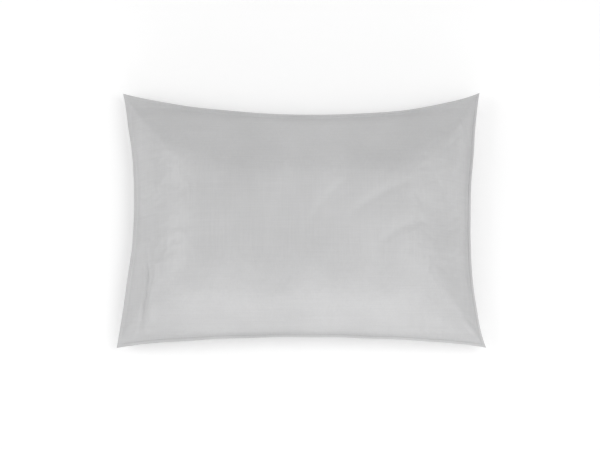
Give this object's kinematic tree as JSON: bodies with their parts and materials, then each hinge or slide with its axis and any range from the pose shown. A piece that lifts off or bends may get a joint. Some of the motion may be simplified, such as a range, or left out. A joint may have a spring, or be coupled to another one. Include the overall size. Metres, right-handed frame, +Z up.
{
  "type": "bed pillow",
  "caption": "Soft stuffed bed pillow in a smooth grey pillowcase with sewn edges, pinched corners and a tuck-in flap at the open end, through which the pillow slides out.",
  "frame": {"origin": "on the surface that the pillow lies on, under the middle of its bounding box", "axes": "+Z up out of the front face; +X along the pillow, from the open end of the case to its closed end; +Y across it"},
  "size_m": [0.6904, 0.492, 0.1258],
  "materials": {
    "case_sateen": "smooth light grey cotton sateen, soft sheen",
    "case_thread": "grey sewing thread, slightly lighter than the cloth",
    "label_satin": "white satin label ribbon",
    "ticking_cotton": "white downproof cotton ticking, matt",
    "piping_cotton": "white cotton bias strip over a cord",
    "ticking_thread": "white sewing thread",
    "fibre": "white hollow polyester fibre"
  },
  "bodies": {
    "pillowcase": {"case_front_panel": "case_sateen", "case_back_panel": "case_sateen", "mouth_hem": "case_sateen", "tuck_in_flap": "case_sateen", "tuck_in_flap_hem": "case_sateen", "upper_side_stitching": "case_thread", "lower_side_stitching": "case_thread", "closed_end_stitching": "case_thread", "mouth_hem_stitching": "case_thread", "flap_hem_stitching": "case_thread", "mouth_bar_tack_upper": "case_thread", "mouth_bar_tack_lower": "case_thread", "case_care_label": "label_satin"},
    "pillow": {"ticking_top_panel": "ticking_cotton", "ticking_bottom_panel": "ticking_cotton", "piping": "piping_cotton", "ticking_seam_stitching": "ticking_thread", "closing_seam_stitching": "ticking_thread", "pillow_care_label": "label_satin", "fibre_fill": "fibre"}
  },
  "joints": [
    {"name": "pillow_slide_out", "type": "slide", "parent": "pillowcase", "child": "pillow", "axis": [-1, 0, 0], "range_m": [0, 0.7], "deforming": ["case_front_panel", "case_back_panel", "mouth_hem", "tuck_in_flap", "tuck_in_flap_hem", "upper_side_stitching", "lower_side_stitching", "closed_end_stitching", "mouth_hem_stitching", "flap_hem_stitching", "mouth_bar_tack_upper", "mouth_bar_tack_lower", "case_care_label"]}
  ]
}
